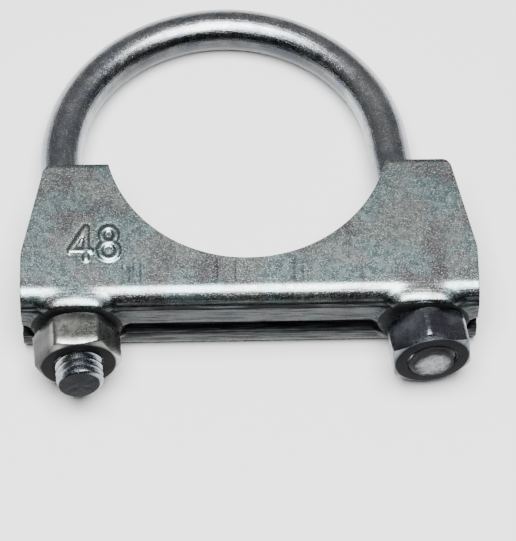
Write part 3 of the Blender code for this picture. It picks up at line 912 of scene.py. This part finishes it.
def saddle_finish(f):
    """Mottled sheet, streaked by the press beside the bend, with painted shade on its web."""
    made, tree, group, shader, relief, coords = plated(
        "saddle_plating", f.sheet_light, f.sheet_dark, (0.203, 0.293, 0.30), 0.62, 0.34,
        (0.22, 0.36), 0.010 * MM)
    parts = node(tree, "ShaderNodeSeparateXYZ")
    link(tree, coords.outputs["Object"], parts.inputs["Vector"])
    run = rise(tree, parts.outputs["X"], -38 * MM, 38 * MM)
    ramp = node(tree, "ShaderNodeValToRGB")
    ramp.color_ramp.interpolation = "EASE"
    for end in ramp.color_ramp.elements:
        end.color = (0, 0, 0, 1)
    for x, width, depth in STREAKS:
        for offset, level in ((-width, 0.0), (0.0, depth), (width, 0.0)):
            mark = ramp.color_ramp.elements.new((x + offset + 38) / 76)
            mark.color = (level, level, level, 1)
    link(tree, run, ramp.inputs["Fac"])
    start = rise(tree, parts.outputs["Y"], -2.4 * MM, -1.2 * MM)
    stop = rise(tree, parts.outputs["Y"], 3.6 * MM, 1.2 * MM)
    zone = math_node(tree, "MULTIPLY", start, stop)
    zone = math_node(tree, "MULTIPLY", zone, rise(tree, parts.outputs["Z"], 15.5 * MM, 15.8 * MM))
    streak = math_node(tree, "MULTIPLY", ramp.outputs["Color"], zone)
    shade = mix_colour(tree, math_node(tree, "MULTIPLY", streak, 0.9),
                       group.outputs["Color"], (0.035, 0.04, 0.05))
    painted_web_shade, drawn = web_painted_shade(tree, coords.outputs["Object"], parts)
    lay_painted_shade(tree, shader, shade, painted_web_shade)
    sunk = math_node(tree, "SUBTRACT", group.outputs["Height"],
                     math_node(tree, "MULTIPLY", streak, 2.5))
    sunk = math_node(tree, "ADD", sunk, math_node(tree, "MULTIPLY", drawn, 0.8))
    link(tree, sunk, relief.inputs["Height"])
    return made


# Painted shade on the web: level above the floor in mm, and its darkness
WEB_PAINTED_SHADE = (
    (0.0, 0.89), (3.1, 0.91), (4.2, 0.92), (5.0, 0.96), (5.32, 0.99), (6.6, 0.99), (7.0, 0.97),
    (8.7, 0.96), (8.85, 0.96), (9.05, 0.90), (9.3, 0.90), (12.9, 0.90), (13.3, 0.97),
    (13.8, 0.985), (13.95, 0.85), (14.2, 0.88), (14.6, 0.75), (15.1, 0.0), (16.0, 0.0))


def web_painted_shade(tree, coords, parts):
    """Painted shade on the web by level, with wavy borders, painted shadow at the seats, and its
    drawn lines.
    """
    stretch = node(tree, "ShaderNodeMapping")
    stretch.inputs["Scale"].default_value = (0.06, 1.0, 1.0)
    link(tree, coords, stretch.inputs["Vector"])
    drawn = noise_mask(tree, stretch.outputs["Vector"], 2600.0, 3.0, 0.40, 0.62)
    wander = node(tree, "ShaderNodeTexNoise", Scale=260.0, Detail=4.0)
    link(tree, coords, wander.inputs["Vector"])
    offset = math_node(tree, "MULTIPLY_ADD", wander.outputs["Fac"], 0.5 * MM, -0.25 * MM)
    level = math_node(tree, "ADD", parts.outputs["Z"], offset)
    # Painted shade by level: the dark reflection across the web, and black painted shadow in the
    # groove.
    ramp = node(tree, "ShaderNodeValToRGB")
    stops = ramp.color_ramp.elements
    for index, (z, dark) in enumerate(WEB_PAINTED_SHADE):
        stop = stops[index] if index < 2 else stops.new(z / 16)
        stop.position = z / 16
        stop.color = (dark, dark, dark, 1)
    link(tree, math_node(tree, "DIVIDE", level, 16 * MM), ramp.inputs["Fac"])
    web = rise(tree, parts.outputs["Y"], -2.2 * MM, -3.4 * MM)
    # Painted shadow on the front of the raised seats round the nuts, below the cheek.
    seat = rise(tree, parts.outputs["Y"], -5.9 * MM, -6.2 * MM)
    below = rise(tree, parts.outputs["Z"], 15.5 * MM, 15.0 * MM)
    lines = math_node(tree, "MULTIPLY_ADD", drawn, 0.07, ramp.outputs["Color"])
    shade = math_node(tree, "MULTIPLY", math_node(tree, "SUBTRACT", lines, 0.03), web)
    near = math_node(tree, "MULTIPLY", seat, below)
    near = math_node(tree, "MULTIPLY", near, 0.975)
    drawn = math_node(tree, "MULTIPLY", drawn, web)
    return math_node(tree, "MAXIMUM", shade, near, clamp=True), drawn


def lay_painted_shade(tree, shader, colour_socket, cover):
    """Lay painted black shade over the plating; where it is thickest the metal shine is turned off as
    well.
    """
    black = mix_colour(tree, cover, colour_socket, (0.004, 0.004, 0.005))
    link(tree, black, shader.inputs["Base Color"])
    metal = node(tree, "ShaderNodeMapRange", From_Min=0.90, From_Max=0.97, To_Min=1.0, To_Max=0.02)
    link(tree, cover, metal.inputs["Value"])
    link(tree, metal.outputs["Result"], shader.inputs["Metallic"])
    shader.inputs["Specular IOR Level"].default_value = 0.02


def painted_shade(tree, shader, colour_socket):
    """Darken a plated colour with the painted shade stored in the piece's own attribute."""
    field = node(tree, "ShaderNodeAttribute", attribute_name="painted_shade")
    lay_painted_shade(tree, shader, colour_socket, field.outputs["Fac"])


def rod_finish(f):
    """Drawn rod: long streaks that follow it round the arch."""
    made, tree, group, shader, relief, _ = plated(
        "rod_plating", f.rod_light, f.rod_dark, (0.225, 0.255, 0.315), 0.35, 0.30,
        (0.20, 0.34), 0.014 * MM)
    along = node(tree, "ShaderNodeAttribute", attribute_name="along_rod")
    drawn = node(tree, "ShaderNodeMapping")
    drawn.inputs["Scale"].default_value = (0.045, 1.0, 1.0)
    link(tree, along.outputs["Vector"], drawn.inputs["Vector"])
    streaks = noise_mask(tree, drawn.outputs["Vector"], 1900.0, 4.0, 0.38, 0.64, 0.6)
    scratches = noise_mask(tree, drawn.outputs["Vector"], 5200.0, 2.0, 0.52, 0.70)
    tone = mix_colour(tree, math_node(tree, "MULTIPLY", streaks, 0.6),
                      group.outputs["Color"], tuple(f.rod_dark))
    painted_shade(tree, shader, tone)
    ridge = math_node(tree, "ADD", math_node(tree, "MULTIPLY", streaks, 0.8),
                      math_node(tree, "MULTIPLY", scratches, 0.5))
    both = math_node(tree, "ADD", ridge, math_node(tree, "MULTIPLY", group.outputs["Height"], 0.6))
    link(tree, both, relief.inputs["Height"])
    return made


def nut_finish(name, light, dark, tint, stain, spark, rough):
    """Plated nut, darkened by painted shade where its attribute says."""
    made, tree, group, shader, _, _ = plated(name, light, dark, tint, stain, spark, rough,
                                             0.012 * MM)
    painted_shade(tree, shader, group.outputs["Color"])
    return made


# ---------------------------------------------------------------- stage

def build_floor(f):
    """Wide pale floor under the clamp."""
    built = bmesh.new()
    bmesh.ops.create_grid(built, x_segments=1, y_segments=1, size=3.0)
    mesh = bpy.data.meshes.new("floor")
    built.to_mesh(mesh)
    built.free()
    floor = bpy.data.objects.new("floor", mesh)
    floor.location.z = -0.05 * MM
    bpy.context.scene.collection.objects.link(floor)
    made = bpy.data.materials.new("floor_paper")
    made.use_nodes = True
    tree = made.node_tree
    shader = tree.nodes["Principled BSDF"]
    shader.inputs["Roughness"].default_value = 0.9
    shader.inputs["Specular IOR Level"].default_value = 0.1
    coords = node(tree, "ShaderNodeTexCoord")
    grain = noise_mask(tree, coords.outputs["Object"], 400.0, 3.0, 0.3, 0.7)
    shade = mix_colour(tree, math_node(tree, "MULTIPLY", grain, 0.03), tuple(f.floor),
                       (0.7, 0.7, 0.7))
    link(tree, shade, shader.inputs["Base Color"])
    mesh.materials.append(made)


def build_lights(s):
    """Overhead softbox in a room that is dark in front."""
    lamp = bpy.data.lights.new("softbox", "AREA")
    lamp.shape = "SQUARE"
    lamp.size = s.softbox
    lamp.energy = s.softbox_power
    box = bpy.data.objects.new("softbox", lamp)
    box.location = (0.0, -s.softbox_shift, s.softbox_height)
    bpy.context.scene.collection.objects.link(box)
    world = bpy.data.worlds.new("room")
    world.use_nodes = True
    tree = world.node_tree
    back = tree.nodes["Background"]
    coords = node(tree, "ShaderNodeTexCoord")
    parts = node(tree, "ShaderNodeSeparateXYZ")
    link(tree, coords.outputs["Generated"], parts.inputs["Vector"])
    span = node(tree, "ShaderNodeMapRange", From_Min=-0.1, From_Max=0.5, To_Min=0.04, To_Max=1.2)
    link(tree, parts.outputs["Y"], span.inputs["Value"])
    tone = mix_colour(tree, span.outputs["Result"], (0, 0, 0), (1.0, 1.0, 1.0))
    link(tree, tone, back.inputs["Color"])
    back.inputs["Strength"].default_value = s.world
    bpy.context.scene.world = world


def build_camera(s):
    """Long lens looking down at the clamp from the nuts' side."""
    lens = bpy.data.cameras.new("camera")
    lens.lens = s.lens
    lens.sensor_fit = "AUTO"
    lens.sensor_width = 36.0
    lens.clip_start = 0.01
    lens.clip_end = 20.0
    camera = bpy.data.objects.new("camera", lens)
    camera.location = CAMERA_PLACE
    camera.rotation_euler = CAMERA_TURN
    bpy.context.scene.collection.objects.link(camera)
    bpy.context.scene.camera = camera


# ---------------------------------------------------------------- operators

class CLAMP_OT_saddle(bpy.types.Operator):
    """Build the pressed saddle"""
    bl_idname = "clamp.saddle"
    bl_label = "Saddle"

    def execute(self, context):
        scene = context.scene
        s = scene.clamp_saddle
        piece = finish_object("pressed_saddle", saddle_mesh(s), saddle_finish(scene.clamp_finish),
                              "saddle", "saddle", "zinc_sheet")
        cut_holes(piece, s)
        piece.data.set_sharp_from_angle(angle=SHARP_ANGLE)
        return {"FINISHED"}


class CLAMP_OT_rod(bpy.types.Operator):
    """Build the bent and threaded rod"""
    bl_idname = "clamp.rod"
    bl_label = "Rod"

    def execute(self, context):
        scene = context.scene
        s = scene.clamp_rod
        built, whole, splay = rod_mesh(s, scene.clamp_nuts)
        built.transform(whole)
        piece = finish_object("bent_rod", built, rod_finish(scene.clamp_finish),
                              "u_bolt", "u_bolt", "zinc_rod")
        mark_rod(piece, whole, splay, s, scene.clamp_nuts)
        return {"FINISHED"}


class CLAMP_OT_nuts(bpy.types.Operator):
    """Build the two hex nuts"""
    bl_idname = "clamp.nuts"
    bl_label = "Nuts"

    def execute(self, context):
        scene = context.scene
        f = scene.clamp_finish
        bright = nut_finish("bright_nut_plating", f.nut_light, f.nut_mid, (0.15, 0.165, 0.143),
                            0.5, 0.12, (0.24, 0.40))
        dark = nut_finish("black_nut_plating", f.black_light, f.black_dark, (0.045, 0.053, 0.075),
                          0.8, 0.04, (0.20, 0.38))
        for side, name, metal, slot in ((-1, "nut_left", bright, "nut_bright"),
                                        (1, "nut_right", dark, "nut_dark")):
            built = nut_mesh(side, scene.clamp_nuts, scene.clamp_rod)
            piece = finish_object("hex_" + name, built, metal, name, name, slot)
            mark_nut(piece, side, scene.clamp_nuts, scene.clamp_rod)
        return {"FINISHED"}


class CLAMP_OT_stage(bpy.types.Operator):
    """Build the floor, light and camera"""
    bl_idname = "clamp.stage"
    bl_label = "Stage"

    def execute(self, context):
        scene = context.scene
        build_floor(scene.clamp_finish)
        build_lights(scene.clamp_stage)
        build_camera(scene.clamp_stage)
        return {"FINISHED"}


class CLAMP_PT_panel(bpy.types.Panel):
    """Lists the pieces of the clamp"""
    bl_idname = "CLAMP_PT_panel"
    bl_label = "Exhaust clamp"
    bl_space_type = "VIEW_3D"
    bl_region_type = "UI"
    bl_category = "Clamp"

    def draw(self, context):
        for name in ("clamp.saddle", "clamp.rod", "clamp.nuts", "clamp.stage"):
            self.layout.operator(name)


SETTINGS = {
    "clamp_saddle": SaddleSettings,
    "clamp_rod": RodSettings,
    "clamp_nuts": NutSettings,
    "clamp_finish": FinishSettings,
    "clamp_stage": StageSettings,
}
CLASSES = (*SETTINGS.values(), CLAMP_OT_saddle, CLAMP_OT_rod, CLAMP_OT_nuts, CLAMP_OT_stage,
           CLAMP_PT_panel)


def register():
    """Register every class and hang the settings on the scene."""
    for item in CLASSES:
        bpy.utils.register_class(item)
    for name, kind in SETTINGS.items():
        setattr(bpy.types.Scene, name, PointerProperty(type=kind))


def unregister():
    """Take the settings and classes away again."""
    for name in SETTINGS:
        delattr(bpy.types.Scene, name)
    for item in reversed(CLASSES):
        bpy.utils.unregister_class(item)


def main():
    """Build the clamp and its stage."""
    register()
    bpy.ops.clamp.saddle()
    bpy.ops.clamp.rod()
    bpy.ops.clamp.nuts()
    bpy.ops.clamp.stage()


if __name__ == "__main__":
    main()
